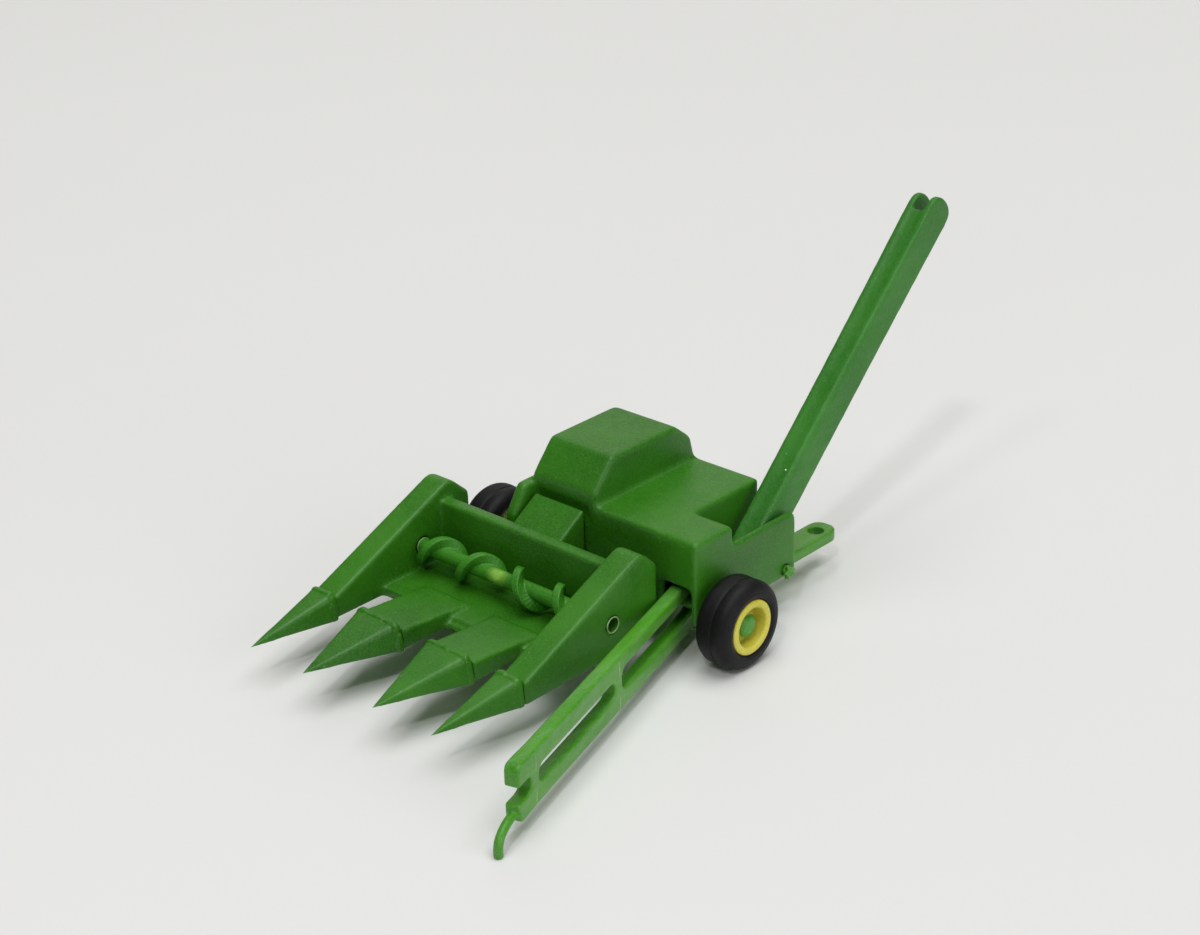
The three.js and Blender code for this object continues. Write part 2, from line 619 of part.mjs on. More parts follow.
// A ridge-backed point: an arched section at the base, running out to one tip.
function snout(x, width, tipX) {
  const half = width / 2;
  const section = outline([
    [-half, 0, 0.5],
    [half, 0, 0.5],
    [half * 0.82, SNOUT_HEIGHT, 1.0],
    [-half * 0.82, SNOUT_HEIGHT, 1.0],
  ]).getPoints(3).slice(1);
  const base = section.map((p) => new THREE.Vector3(x + p.x, SNOUT_BASE_Y, HEADER_BOTTOM + p.y));
  const tip = new THREE.Vector3(tipX, SNOUT_BASE_Y - SNOUT_LENGTH, SNOUT_TIP_Z);
  const centre = new THREE.Vector3(x, SNOUT_BASE_Y, HEADER_BOTTOM + SNOUT_HEIGHT / 2);
  const triangles = [];
  base.forEach((corner, i) => {
    const next = base[(i + 1) % base.length];
    triangles.push(tip, corner, next);
    triangles.push(centre, next, corner);
  });
  const cone = new THREE.BufferGeometry().setFromPoints(triangles);
  cone.setIndex(triangles.map((_, i) => i));
  const collar = new THREE.Shape(section.map((p) => new THREE.Vector2(
    x + p.x * (1 + COLLAR_LIP / half),
    HEADER_BOTTOM + p.y * (1 + COLLAR_LIP / SNOUT_HEIGHT))));
  return join(toSolid(cone), sweepY(collar, SNOUT_BASE_Y - COLLAR_LENGTH, SNOUT_BASE_Y));
}

function feederHouse() {
  const half = FEEDER_WIDTH / 2;
  const fall = Math.tan(FEEDER_SLOPE * DEG);
  const ceiling = (y) => FEEDER_TOP_Z - FEEDER_WALL / Math.cos(FEEDER_SLOPE * DEG) + (y + GAP) * fall;
  const front = FEEDER_FRONT + FEEDER_WALL;
  const socket = half - FEEDER_WALL / 2;
  const inner = sweepX(outline([
    [front, ceiling(front)],
    [front, 0],
    [WALL, 0],
    [WALL, ceiling(WALL)],
  ]), -half + FEEDER_WALL, half - FEEDER_WALL);
  return cut(sweepX(feederOutline(), -half, half), inner,
    rodX(FEEDER_PIN_RADIUS + RUN, -socket, socket, FEEDER_PIVOT.x, FEEDER_PIVOT.y, 16));
}

// ---------------------------------------------------------------- auger
// A helical flight that winds outward from start, with a crest pointing up at crest; side is -1 or +1.
function flight(side, start, crest) {
  const stepsPerTurn = 24;
  const steps = Math.round(stepsPerTurn * (AUGER_FLIGHT_END - start) / AUGER_PITCH);
  const root = AUGER_CORE_RADIUS * 0.6;
  const half = AUGER_FLIGHT_THICKNESS / 2;
  const points = [];
  for (let i = 0; i <= steps; i += 1) {
    const distance = start + (AUGER_PITCH * i) / stepsPerTurn;
    const turn = ((distance - crest) / AUGER_PITCH) * 2 * Math.PI;
    const x = side * distance;
    const corners = [[root, -half], [AUGER_RADIUS, -half * 0.75], [AUGER_RADIUS, half * 0.75], [root, half]];
    corners.forEach(([radius, dx]) => points.push(new THREE.Vector3(
      x + side * dx,
      AUGER_Y - radius * Math.sin(turn),
      AUGER_Z + radius * Math.cos(turn))));
  }
  const index = [];
  const quad = (a, b, c, d) => index.push(...(side < 0 ? [a, b, c, a, c, d] : [c, b, a, d, c, a]));
  for (let i = 0; i < steps; i += 1) {
    for (let k = 0; k < 4; k += 1) {
      const a = 4 * i + k;
      const b = 4 * i + ((k + 1) % 4);
      quad(a, b, b + 4, a + 4);
    }
  }
  quad(3, 2, 1, 0);
  quad(4 * steps, 4 * steps + 1, 4 * steps + 2, 4 * steps + 3);
  const geometry = new THREE.BufferGeometry().setFromPoints(points);
  geometry.setIndex(index);
  return toSolid(geometry);
}

function auger() {
  const reach = HEADER_HALF_WIDTH - 1.4;
  return join(
    rodX(AUGER_CORE_RADIUS, -reach, reach, AUGER_Y, AUGER_Z, 16),
    flight(-1, FAR_FLIGHT_START, FAR_FLIGHT_CREST),
    flight(1, NEAR_FLIGHT_START, NEAR_FLIGHT_CREST),
  );
}

// ---------------------------------------------------------------- tongue
// Drawn straight ahead along -Y from the pivot at the origin, then swung outward and moved into place.
function placeTongue(solid) {
  const swing = new THREE.Matrix4().makeRotationZ(TONGUE_ANGLE * DEG);
  swing.setPosition(TONGUE_PIVOT.x, TONGUE_PIVOT.y, 0);
  return toSolid(toGeometry(solid).applyMatrix4(swing));
}

function tongueFrame() {
  const half = TONGUE_THICKNESS / 2;
  const front = -TONGUE_LENGTH;
  const notchEnd = front + FORK_NOTCH_LENGTH;
  const frontBay = notchEnd + BRIDGE_LENGTH;
  const rearBay = frontBay + FRONT_BAY_LENGTH + BRIDGE_LENGTH;
  const slot = (y0, y1, z0, z1) => {
    const round = (z1 - z0) / 2 * 0.95;
    return sweepX(outline([[y0, z0, round], [y1, z0, round], [y1, z1, round], [y0, z1, round]]), -FAR, FAR);
  };
  const blank = sweepX(outline([
    [front, TONGUE_BOTTOM, 1.0],
    [0, TONGUE_BOTTOM],
    [0, TONGUE_TOP],
    [front, TONGUE_TOP, 1.2],
  ]), -half, half);
  const hub = rodZ(HUB_RADIUS, TONGUE_BOTTOM, TONGUE_TOP, 0, 0, 24);
  const frame = cut(
    join(blank, hub, hitchHook()),
    slot(front - FORK_NOTCH_LENGTH, notchEnd, LOWER_BAR_TOP, UPPER_BAR_BOTTOM),
    slot(frontBay, frontBay + FRONT_BAY_LENGTH, LOWER_BAR_TOP, UPPER_BAR_BOTTOM),
    slot(rearBay, -HUB_RADIUS, LOWER_BAR_TOP, REAR_BAY_TOP),
    rodZ(TONGUE_SCREW_RADIUS + RUN, 0, FAR, 0, 0),
  );
  return placeTongue(frame);
}

// The hook at the fork's end: a bent rod out of the lower prong, cut off flat at the ground.
function hitchHook() {
  const z = (TONGUE_BOTTOM + LOWER_BAR_TOP) / 2;
  const stations = [
    [1.2, 0], [0, -0.05], [-0.3, -0.1], [-0.6, -0.26], [-0.78, -0.5], [-0.82, -0.75], [-0.8, -1.12],
  ];
  const line = new THREE.CatmullRomCurve3(stations.map(([reach, rise]) =>
    new THREE.Vector3(0, -TONGUE_LENGTH + reach * HITCH_REACH * (reach > 0 ? 0.3 : 1), z + rise * z)));
  const circle = new THREE.Shape().absarc(0, 0, HITCH_ROD_RADIUS, 0, 2 * Math.PI, false);
  const rod = new THREE.ExtrudeGeometry(circle, {
    steps: 18, curveSegments: 6, extrudePath: line, bevelEnabled: false,
  });
  return cut(toSolid(rod), box(-FAR, FAR, -FAR, FAR, -FAR, 0));
}

// ---------------------------------------------------------------- assembly
const chassis = new THREE.Group();
chassis.add(piece('body_shell', bodyShell(), housingGreen));
chassis.add(piece('chassis_plate', chassisPlate(), frameGreen));
SCREW_PLACES.forEach((place, i) =>
  chassis.add(piece(`chassis_screw_${i + 1}`, chassisScrew(place), frameGreen)));
chassis.add(piece('axle', axle(), frameGreen));
chassis.add(piece('cross_pin', crossPin(), frameGreen));
chassis.add(piece('elevator_pin', elevatorPin(), frameGreen));
chassis.add(piece('tongue_screw', tongueScrew(), frameGreen));

const wheels = new THREE.Group();
wheels.add(piece('near_rim', rim(NEAR_WHEEL_X, 1), rimYellow));
wheels.add(piece('near_tyre', tyre(NEAR_WHEEL_X), tyreBlack));
wheels.add(piece('far_rim', rim(FAR_WHEEL_X, -1), rimYellow));
wheels.add(piece('far_tyre', tyre(FAR_WHEEL_X), tyreBlack));

const elevator = new THREE.Group();
elevator.add(piece('elevator_channel', elevatorChannel(), elevatorGreen));

const header = new THREE.Group();
const outerSnoutX = HEADER_HALF_WIDTH + 0.2 - SNOUT_OUTER_WIDTH / 2;
header.add(piece('header_shell', headerShell(), housingGreen));
header.add(piece('snout_1', snout(-outerSnoutX, SNOUT_OUTER_WIDTH, -OUTER_TIP_X), housingGreen));
header.add(piece('snout_2', snout(-ROW_RIB_X, SNOUT_INNER_WIDTH, -ROW_RIB_X), housingGreen));
header.add(piece('snout_3', snout(ROW_RIB_X, SNOUT_INNER_WIDTH, ROW_RIB_X), housingGreen));
header.add(piece('snout_4', snout(outerSnoutX, SNOUT_OUTER_WIDTH, OUTER_TIP_X), housingGreen));
header.add(piece('feeder_house', feederHouse(), housingGreen));
header.add(piece('feeder_pin', feederPin(), frameGreen));
header.add(piece('auger', auger(), housingGreen));

const tongue = new THREE.Group();
tongue.add(piece('tongue_frame', tongueFrame(), frameGreen));

const picker = new THREE.Group();
picker.add(chassis, wheels, elevator, header, tongue);

// The finished model's origin is the middle of the bottom of its own box.
const extent = new THREE.Box3().setFromObject(picker);
const middle = extent.getCenter(new THREE.Vector3());
picker.position.set(-middle.x, -middle.y, -extent.min.z);

export default picker;
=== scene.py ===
"""Looks of a small moulded corn picker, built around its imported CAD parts.

The moulded pieces are the CAD meshes with their edges softened as they are on a moulding. Tyres, rims,
seams and flash are modelled here. Lengths are in metres, and most are written in millimetres times MM.
"""

import json
import math
import random

import bmesh
import bpy
from mathutils import Matrix, Vector, noise


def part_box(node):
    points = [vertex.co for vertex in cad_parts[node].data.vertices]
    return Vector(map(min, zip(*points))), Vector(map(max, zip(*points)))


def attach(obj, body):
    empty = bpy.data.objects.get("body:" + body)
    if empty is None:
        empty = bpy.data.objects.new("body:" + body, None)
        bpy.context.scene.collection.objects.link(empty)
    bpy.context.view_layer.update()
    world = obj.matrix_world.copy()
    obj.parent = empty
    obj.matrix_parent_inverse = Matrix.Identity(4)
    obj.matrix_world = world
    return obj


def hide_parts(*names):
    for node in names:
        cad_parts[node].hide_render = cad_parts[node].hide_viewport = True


MM = 0.001

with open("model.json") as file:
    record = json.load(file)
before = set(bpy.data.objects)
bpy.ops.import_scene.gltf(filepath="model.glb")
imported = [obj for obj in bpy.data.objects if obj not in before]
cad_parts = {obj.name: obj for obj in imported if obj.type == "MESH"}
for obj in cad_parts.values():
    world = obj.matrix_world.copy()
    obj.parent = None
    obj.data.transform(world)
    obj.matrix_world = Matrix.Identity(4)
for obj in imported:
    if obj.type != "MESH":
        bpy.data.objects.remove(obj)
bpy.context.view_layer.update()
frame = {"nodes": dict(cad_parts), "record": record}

RECORD = frame["record"]
BODY_OF = {node: body for body, nodes in RECORD["behaviour"]["bodies"].items() for node in nodes}
SLOT_OF = {entry["node"]: entry["material_slot"] for entry in RECORD["subparts"]}

# ---------------------------------------------------------------- camera and light
CAMERA_FROM_WHEEL = Vector((179.85, -219.06, 156.97)) * MM
CAMERA_AZIMUTH = math.radians(43.1)
CAMERA_ELEVATION = math.radians(25.16)
CAMERA_ROLL = math.radians(-1.622)
CAMERA_LENS = 70.055
SENSOR_WIDTH = 36.0

BACKGROUND_TINT = (0.95, 0.93, 0.86, 1.0)
BACKGROUND_STRENGTH = 0.13
FLOOR_REACH = 6.0

# ---------------------------------------------------------------- softened mouldings
# Each node's cell in millimetres and its rounds of smoothing.
SOFTNESS = {
    "body_shell": (0.20, 55),
    "header_shell": (0.18, 40),
    "elevator_channel": (0.15, 26),
    "tongue_frame": (0.12, 20),
    "feeder_house": (0.12, 50),
    "chassis_plate": (0.14, 3),
    "auger": (0.08, 18),
    **{f"snout_{i}": (0.10, 12) for i in range(1, 5)},
    "axle": (0.10, 3),
    "cross_pin": (0.08, 3),
}
SMALL_PART_SOFTNESS = (0.07, 3)
SNOUT_POINT = 4.0 * MM              # left sharp, as are the elevator's notched end and the tongue's hook
ELEVATOR_END = 3.5 * MM
HOOK_REACH = 7.0 * MM

# ---------------------------------------------------------------- marks left by the mould, a speck of dust and a painted highlight
COLLAR_LENGTH = 1.0 * MM
COLLAR_LIP = 0.15 * MM
COLLAR_GAP_FILL = 0.20 * MM
PIN_HEAD_LENGTH = 0.8 * MM
DIVIDER_WIDTH = 4.4 * MM
AUGER_BORE = 1.25 * MM
FLASH_THICKNESS = 0.10 * MM
TONGUE_ANGLE = math.radians(17.0)
TONGUE_HALF_THICKNESS = 1.05 * MM
TONGUE_LENGTH = 56.05 * MM
BRIDGE_FROM_FORK = (4.55 * MM, 28.95 * MM)
SEAM_SPANS = ((2.9 * MM, 5.0 * MM), (7.6 * MM, 10.2 * MM))
SEAM_STEPS = 14
SEAM_ROOT = 0.12 * MM
SPECK_PLACE = Vector((14.20, 18.74, 20.92)) * MM
SPECK_RADIUS = 0.13 * MM
# Painted highlight: a pale spot painted into the auger's colour near its core.
PAINTED_HIGHLIGHT_FROM_AUGER = Vector((-0.6, -0.9, 0.7)) * MM
PAINTED_HIGHLIGHT_RADIUS = 2.1 * MM
PAINTED_HIGHLIGHT_COLOUR = (0.46, 0.80, 0.12)

# ---------------------------------------------------------------- wheels
TREAD_SHOULDER = 1.55 * MM
RIM_LIP_WIDTH = 1.12 * MM
RIM_BORE = 0.92 * MM
DISH_DEPTH = 2.5 * MM
RIM_BACK = 0.9 * MM
SEAT_GAP = 0.03 * MM
CORNER = 0.12 * MM


def camera_rotation():
    """Looks along the azimuth, down by the elevation, and rolled about the line of sight."""
    az, el = CAMERA_AZIMUTH, CAMERA_ELEVATION
    ahead = Vector((-math.sin(az) * math.cos(el), math.cos(az) * math.cos(el), -math.sin(el)))
    level = Vector((math.cos(az), math.sin(az), 0.0))
    upright = level.cross(ahead)
    right = level * math.cos(CAMERA_ROLL) + upright * math.sin(CAMERA_ROLL)
    up = upright * math.cos(CAMERA_ROLL) - level * math.sin(CAMERA_ROLL)
    return Matrix((right, up, -ahead)).transposed().to_4x4()


def corners(node):
    """The low and the high corner of a CAD node's box."""
    low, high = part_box(node)
    return Vector(low), Vector(high)


def middle(node):
    """The centre and the size of a CAD node's box."""
    low, high = corners(node)
    return (low + high) / 2, high - low


def add_camera():
    data = bpy.data.cameras.new("camera")
    data.lens = CAMERA_LENS
    data.sensor_width = SENSOR_WIDTH
    data.clip_start = 0.01
    data.clip_end = 20.0
    camera = bpy.data.objects.new("camera", data)
    place = middle("near_tyre")[0] + CAMERA_FROM_WHEEL
    camera.matrix_world = Matrix.Translation(place) @ camera_rotation()
    bpy.context.scene.collection.objects.link(camera)
    bpy.context.scene.camera = camera


def add_area_light(name, direction, distance, size, watts, tint=(1.0, 1.0, 1.0)):
    """A square soft box that looks at the model from this direction."""
    data = bpy.data.lights.new(name, "AREA")
    data.shape = "SQUARE"
    data.size = size
    data.energy = watts
    data.color = tint
    light = bpy.data.objects.new(name, data)
    toward = Vector(direction).normalized()
    light.location = toward * distance
    light.rotation_euler = toward.to_track_quat("Z", "Y").to_euler()
    bpy.context.scene.collection.objects.link(light)


def add_lights():
    bpy.context.scene.view_settings.view_transform = "Standard"
    add_area_light("key", (0.37, -0.72, 1.0), distance=1.8, size=0.11, watts=4.3)
    add_area_light("second_key", (0.12, -0.86, 1.0), distance=1.8, size=0.16, watts=1.6)
    add_area_light("overhead", (0.12, 0.05, 1.0), distance=2.2, size=2.0, watts=37.0)
    add_area_light("side_fill", (1.0, 0.02, 0.30), distance=1.6, size=1.2, watts=6.5)
    add_area_light(
        "back_fill", (-0.62, 0.70, 0.55), distance=1.8, size=1.3, watts=3.6, tint=(1.0, 0.98, 0.86))
    world = bpy.data.worlds.new("studio")
    world.use_nodes = True
    background = world.node_tree.nodes["Background"]
    background.inputs["Color"].default_value = BACKGROUND_TINT
    background.inputs["Strength"].default_value = BACKGROUND_STRENGTH
    bpy.context.scene.world = world


# ---------------------------------------------------------------- materials
class Shader:
    """A Principled material and short calls for the nodes that feed it."""

    def __init__(self, name):
        self.material = bpy.data.materials.new(name)
        self.material.use_nodes = True
        self.nodes = self.material.node_tree.nodes
        self.links = self.material.node_tree.links
        self.surface = self.nodes["Principled BSDF"]
        self.place = self.nodes.new("ShaderNodeTexCoord").outputs["Object"]

    def noise(self, scale, detail=4.0, roughness=0.55, stretch=None, distortion=0.0):
        """Cloudy noise in the object's own space, with the scale per metre."""
        node = self.nodes.new("ShaderNodeTexNoise")
        node.inputs["Scale"].default_value = scale
        node.inputs["Detail"].default_value = detail
        node.inputs["Roughness"].default_value = roughness
        node.inputs["Distortion"].default_value = distortion
        place = self.place
        if stretch:
            mapping = self.nodes.new("ShaderNodeMapping")
            mapping.inputs["Scale"].default_value = stretch
            self.links.new(self.place, mapping.inputs["Vector"])
            place = mapping.outputs["Vector"]
        self.links.new(place, node.inputs["Vector"])
        return node.outputs["Fac"]

    def ramp(self, value, *stops):
        """Turns a 0..1 value into a colour or, with grey stops, into another value."""
        node = self.nodes.new("ShaderNodeValToRGB")
        elements = node.color_ramp.elements
        while len(elements) < len(stops):
            elements.new(0.5)
        for element, (position, colour) in zip(elements, stops):
            element.position = position
            element.color = colour if len(colour) == 4 else (*colour, 1.0)
        self.links.new(value, node.inputs["Fac"])
        return node.outputs["Color"]

    def mask(self, value, start, end, strength):
        """0 up to the start, rising to the strength at the end."""
        return self.ramp(value, (start, (0.0,) * 3), (end, (strength,) * 3))

    def mix(self, amount, low, high):
        """The high colour over the low one by this amount."""
        node = self.nodes.new("ShaderNodeMix")
        node.data_type = "RGBA"
        for socket, value in ((0, amount), (6, low), (7, high)):
            if isinstance(value, bpy.types.NodeSocket):
                self.links.new(value, node.inputs[socket])
            elif socket == 0:
                node.inputs[0].default_value = value
            else:
                node.inputs[socket].default_value = (*value, 1.0)
        return node.outputs[2]

    def scaled(self, value, low, high):
        """A 0..1 value spread from low to high."""
        node = self.nodes.new("ShaderNodeMapRange")
        node.inputs["To Min"].default_value = low
        node.inputs["To Max"].default_value = high
        self.links.new(value, node.inputs["Value"])
        return node.outputs["Result"]

    def bump(self, *layers):
        """Layers are (height, depth in metres); the first is the coarsest."""
        normal = None
        for height, depth in layers:
            node = self.nodes.new("ShaderNodeBump")
            node.inputs["Distance"].default_value = depth
            self.links.new(height, node.inputs["Height"])
            if normal is not None:
                self.links.new(normal, node.inputs["Normal"])
            normal = node.outputs["Normal"]
        self.links.new(normal, self.surface.inputs["Normal"])

    def painted_edge_highlight(self, low, high):
        """0 on flat and hollow places, 1 on outer edges: the mask for painting highlights on edges."""
        geometry = self.nodes.new("ShaderNodeNewGeometry")
        node = self.nodes.new("ShaderNodeMapRange")
        node.inputs["From Min"].default_value = low
        node.inputs["From Max"].default_value = high
        self.links.new(geometry.outputs["Pointiness"], node.inputs["Value"])
        return node.outputs["Result"]

    def near(self, centre, radius):
        """1 at the centre, falling to 0 at the radius, broken up by fine noise."""
        gap = self.nodes.new("ShaderNodeVectorMath")
        gap.operation = "DISTANCE"
        gap.inputs[1].default_value = centre
        self.links.new(self.place, gap.inputs[0])
        node = self.nodes.new("ShaderNodeMapRange")
        node.inputs["From Min"].default_value = radius
        node.inputs["From Max"].default_value = 0.2 * radius
        self.links.new(gap.outputs["Value"], node.inputs["Value"])
        return self.mix(self.noise(1400.0, 3.0), (0.0,) * 3, node.outputs["Result"])

    def set(self, **values):
        """Sets or links the surface's inputs and returns the finished material."""
        for key, value in values.items():
            socket = self.surface.inputs[key.replace("_", " ")]
            if isinstance(value, bpy.types.NodeSocket):
                self.links.new(value, socket)
            else:
                socket.default_value = value
        return self.material


def moulded_plastic(name, shade, base, light, gloss=0.40, sheen_streak_strength=0.0, painted_highlight_centre=None):
    """Dyed, slightly cloudy plastic: drifting colour, pale scuffs, dust, a faint skin texture and painted
    highlights on outer edges.

    gloss is the middle of its roughness; the next argument gives the strength of pale streaks along Y,
    painted as a sheen, and the last one the centre of a pale spot painted as a highlight.
    """
    s = Shader(name)
    pale = tuple(0.55 * c + 0.30 for c in light)
    drift = s.noise(55.0, 3.0, 0.5)
    cloud = s.noise(260.0, 5.0, 0.6, distortion=0.6)
    mottle = s.noise(3600.0, 2.0, 0.6)
    scuff = s.noise(900.0, 4.0, 0.7, stretch=(0.35, 1.0, 1.6))
    painted_sheen_streaks = s.noise(900.0, 4.0, 0.6, stretch=(1.0, 0.10, 1.0))
    dust = s.noise(2600.0, 1.0, 0.4)
    body = s.ramp(drift, (0.30, shade), (0.52, base), (0.78, light))
    body = s.mix(s.mask(cloud, 0.45, 0.82, 0.32), body, light)
    body = s.mix(s.mask(mottle, 0.42, 0.62, 0.62), body, light)
    # Painted highlight: outer edges are lightened towards the light tone.
    body = s.mix(s.mask(s.painted_edge_highlight(0.52, 0.62), 0.0, 1.0, 0.12), body, light)
    body = s.mix(s.mask(scuff, 0.66, 0.76, 0.16), body, pale)
    # Painted sheen: pale streaks along Y lighten the colour.
    body = s.mix(s.mask(painted_sheen_streaks, 0.44, 0.66, sheen_streak_strength), body, pale)
    # Painted highlight: a pale spot mixed into the colour round the given centre.
    if painted_highlight_centre:
        body = s.mix(s.near(painted_highlight_centre, PAINTED_HIGHLIGHT_RADIUS), body, PAINTED_HIGHLIGHT_COLOUR)
    body = s.mix(s.mask(dust, 0.77, 0.80, 0.30), body, (0.55, 0.60, 0.50))
    skin = s.noise(1500.0, 3.0, 0.5)
    waves = s.noise(130.0, 2.0, 0.5)
    grain = s.noise(4200.0, 2.0, 0.6)
    s.bump((waves, 0.24 * MM), (skin, 0.04 * MM), (grain, 0.012 * MM), (scuff, 0.02 * MM))
    rough = s.scaled(s.noise(340.0, 4.0, 0.6), gloss - 0.09, gloss + 0.14)
    return s.set(
        Base_Color=body,
        Roughness=rough,
        Specular_IOR_Level=0.50,
        Subsurface_Weight=0.08,
        Subsurface_Radius=(0.35, 1.0, 0.25),
        Subsurface_Scale=0.8 * MM,
        IOR=1.47,
    )


def rubber(name):
    """Black moulded rubber with a painted grey highlight on its edges and a fine grain."""
    s = Shader(name)
    cloud = s.noise(420.0, 5.0, 0.6)
    grain = s.noise(3000.0, 3.0, 0.6)
    body = s.ramp(cloud, (0.30, (0.0035, 0.0035, 0.004)), (0.75, (0.0085, 0.0085, 0.0095)))
    # Painted highlight: the tyre's outer edges are greyed.
    body = s.mix(s.mask(s.painted_edge_highlight(0.50, 0.60), 0.0, 1.0, 0.30), body, (0.022, 0.022, 0.024))
    s.bump((cloud, 0.06 * MM), (grain, 0.02 * MM))
    rough = s.scaled(s.noise(600.0, 4.0, 0.6), 0.42, 0.62)
    return s.set(Base_Color=body, Roughness=rough, Specular_IOR_Level=0.22)


def floor_paper(name):
    """Matt off-white paper."""
    s = Shader(name)
    cloud = s.noise(3.0, 2.0, 0.5)
    body = s.ramp(cloud, (0.3, (0.80, 0.80, 0.795)), (0.7, (0.82, 0.82, 0.815)))
    s.bump((s.noise(900.0, 3.0, 0.6), 0.02 * MM))
    return s.set(Base_Color=body, Roughness=0.9, Specular_IOR_Level=0.15)


# ---------------------------------------------------------------- mesh helpers
def new_object(name, mesh, material, node):
    """Adds a finished mesh that stands for this CAD node and moves with it."""
    obj = bpy.data.objects.new(name, mesh)
    bpy.context.scene.collection.objects.link(obj)
    obj.data.materials.clear()
    obj.data.materials.append(material)
    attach(obj, BODY_OF[node])
    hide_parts(node)


def new_detail(name, mesh, material, body):
    """Adds a small extra piece that rides on a body and stands for no CAD node of its own."""
    obj = bpy.data.objects.new(name, mesh)
    bpy.context.scene.collection.objects.link(obj)
    obj.data.materials.append(material)
    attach(obj, body)


def smooth_faces(mesh):
    for polygon in mesh.polygons:
        polygon.use_smooth = True


def softened(node, cell, rounds):
    """The CAD node's mesh, rebuilt in fine cells and relaxed so that its edges are soft."""
    mesh = frame["nodes"][node].data.copy()
    mesh.transform(frame["nodes"][node].matrix_world)
    work = bmesh.new()
    work.from_mesh(mesh)
    bmesh.ops.remove_doubles(work, verts=work.verts, dist=1e-7)
    work.to_mesh(mesh)
    work.free()
    obj = bpy.data.objects.new("work", mesh)
    bpy.context.scene.collection.objects.link(obj)
    remesh = obj.modifiers.new("cells", "REMESH")
    remesh.mode = "VOXEL"
    remesh.voxel_size = cell
    relax = obj.modifiers.new("relax", "SMOOTH")
    relax.factor = 0.5
    relax.iterations = rounds
    depsgraph = bpy.context.evaluated_depsgraph_get()
    result = bpy.data.meshes.new_from_object(obj.evaluated_get(depsgraph))
    bpy.data.objects.remove(obj)
    result.materials.clear()
    smooth_faces(result)
    return result


def relax_past(mesh, distance_past, rounds, blend):
    """Smooths where distance_past(place) is positive, in steps that reach full strength after the blend."""
    work = bmesh.new()
    work.from_mesh(mesh)
    past = [(vert, distance_past(vert.co)) for vert in work.verts]
    for turn in range(rounds):
        edge = blend * turn / rounds
        verts = [vert for vert, distance in past if distance > edge]
        bmesh.ops.smooth_vert(
            work, verts=verts, factor=0.5, use_axis_x=True, use_axis_y=True, use_axis_z=True)
    work.to_mesh(mesh)
    work.free()


def melt_collar(mesh, node):
    """Sinks the snout's collar into its divider, except where a rag of flash is left standing."""
    low, high = corners(node)
    centre = (low + high) / 2
    for vert in mesh.vertices:
        depth = high.y - vert.co.y
        if depth > COLLAR_LENGTH:
            continue
        rag = noise.noise(vert.co * 620.0 + centre / MM)
        sunk = COLLAR_LIP * min(1.0, max(0.0, 1.4 - 3.0 * rag))
        vert.co.x -= sunk * (vert.co.x - centre.x) / (high.x - centre.x)
        vert.co.z -= sunk * (vert.co.z - low.z) / (high.z - low.z)
        if depth < 0.25 * COLLAR_LENGTH:
            vert.co.y += COLLAR_GAP_FILL


def finish_snout(mesh, node):
    tip = corners(node)[0].y + SNOUT_POINT
    relax_past(mesh, lambda place: place.y - tip, 30, 1.5 * MM)
    melt_collar(mesh, node)


def finish_elevator(mesh, node):
    notch = corners(node)[1].z - ELEVATOR_END
    relax_past(mesh, lambda place: notch - place.z, 60, 18.0 * MM)


def finish_tongue(mesh, node):
    hook = corners(node)[0].y + HOOK_REACH
    relax_past(mesh, lambda place: place.y - hook, 30, 3.0 * MM)


def melt_head(mesh, node):
    """Turns the pin's near head into an uneven melted bead."""
    low, high = corners(node)
    centre = (low + high) / 2
    for vert in mesh.vertices:
        if vert.co.x < high.x - PIN_HEAD_LENGTH:
            continue
        arm = vert.co - Vector((vert.co.x, centre.y, centre.z))
        lump = noise.noise(vert.co * 1500.0) + 0.5 * noise.noise(vert.co * 3900.0)
        vert.co += arm * 0.75 * lump
        vert.co.x += 0.25 * MM * noise.noise(vert.co * 2100.0 + Vector((7.0, 0.0, 0.0)))


def ring_faces(segments, count):
    """The quads between neighbouring rings of count vertices each, closed both ways."""
    faces = []
    for i in range(segments):
        here = i * count
        there = (i + 1) % segments * count
        for k in range(count):
            following = (k + 1) % count
            faces.append((here + k, here + following, there + following, there + k))
    return faces


def turned(profile, x, centre, segments=128):
    """A closed profile of (radius, along X) points turned about a line parallel to X through centre."""
    verts = []
    for i in range(segments):
        turn = 2 * math.pi * i / segments
        for radius, along in profile:
            verts.append((
                x + along,
                centre.y + radius * math.cos(turn),
                centre.z + radius * math.sin(turn),
            ))
    mesh = bpy.data.meshes.new("turned")
    mesh.from_pydata(verts, [], ring_faces(segments, len(profile)))
    work = bmesh.new()
    work.from_mesh(mesh)
    bmesh.ops.remove_doubles(work, verts=work.verts, dist=1e-8)
    bmesh.ops.recalc_face_normals(work, faces=work.faces)
    work.to_mesh(mesh)
    work.free()
    smooth_faces(mesh)
    return mesh


def rounded(points, radius, steps=4):
    """The same closed profile with each corner turned into an arc."""
    result = []
    count = len(points)
    for i, point in enumerate(points):
        here = Vector(point)
        before = Vector(points[i - 1]) - here
        after = Vector(points[(i + 1) % count]) - here
        reach = min(radius, before.length * 0.45, after.length * 0.45)
        start = here + before.normalized() * reach
        end = here + after.normalized() * reach
        for k in range(steps + 1):
            t = k / steps
            result.append(tuple(start * (1 - t) ** 2 + here * 2 * t * (1 - t) + end * t ** 2))
    return result


